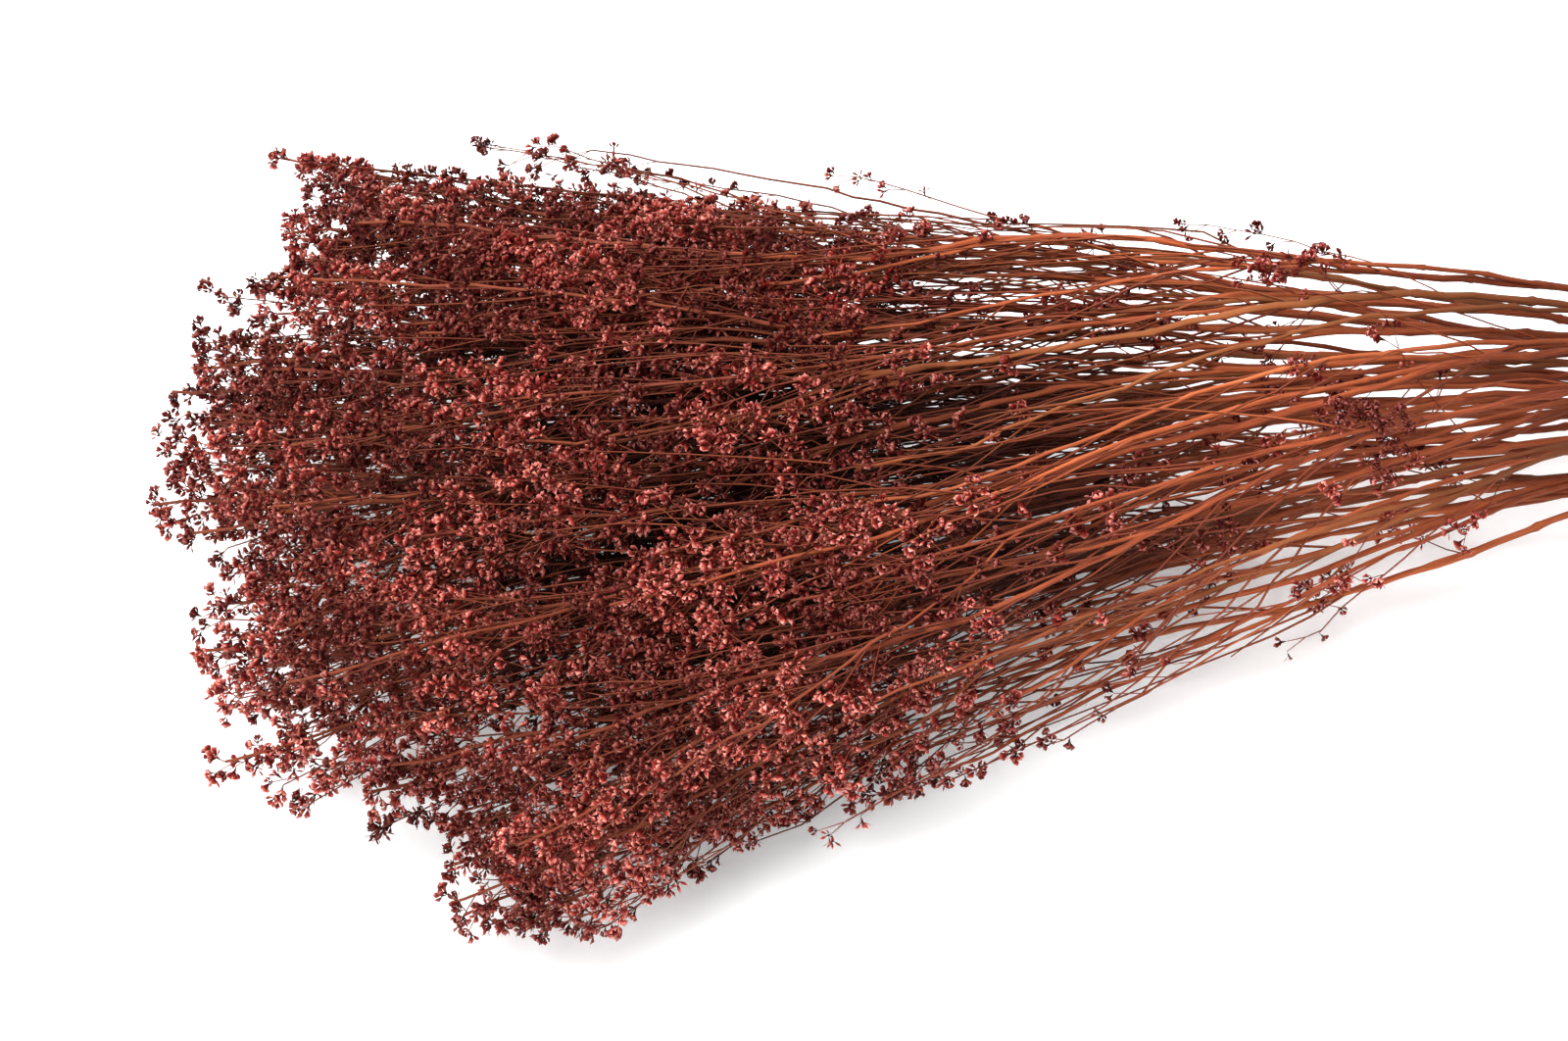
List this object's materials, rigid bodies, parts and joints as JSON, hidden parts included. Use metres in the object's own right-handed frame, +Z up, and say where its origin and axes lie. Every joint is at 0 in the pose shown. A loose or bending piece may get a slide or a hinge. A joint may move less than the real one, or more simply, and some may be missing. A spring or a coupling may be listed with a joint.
{
  "type": "dried broom bloom bunch",
  "caption": "Lying bunch of dyed dried broom: forked woody stems fanning out from a wound twine tie, with small pointed flower heads massed over the far half.",
  "frame": {"origin": "on the table, under the middle of the bunch's box", "axes": "+X towards the cut stem ends, -X towards the flowering tips, +Z up off the table"},
  "size_m": [0.571, 0.2746, 0.1037],
  "materials": {
    "stem": "dry copper-brown dyed twigs, matt",
    "bloom": "papery dusty brick-red florets with paler tips, matt",
    "twine": "raw natural jute twine, hairy and matt"
  },
  "bodies": {
    "root": {"spray_01": "stem", "spray_02": "stem", "spray_03": "stem", "spray_04": "stem", "spray_05": "stem", "spray_06": "stem", "spray_07": "stem", "spray_08": "stem", "spray_09": "stem", "spray_10": "stem", "spray_11": "stem", "spray_12": "stem", "spray_13": "stem", "spray_14": "stem", "spray_15": "stem", "spray_16": "stem", "spray_17": "stem", "spray_18": "stem", "spray_19": "stem", "spray_20": "stem", "spray_21": "stem", "spray_22": "stem", "spray_23": "stem", "spray_24": "stem", "spray_25": "stem", "spray_26": "stem", "spray_27": "stem", "spray_28": "stem", "spray_29": "stem", "spray_30": "stem", "tie": "twine"}
  },
  "joints": []
}
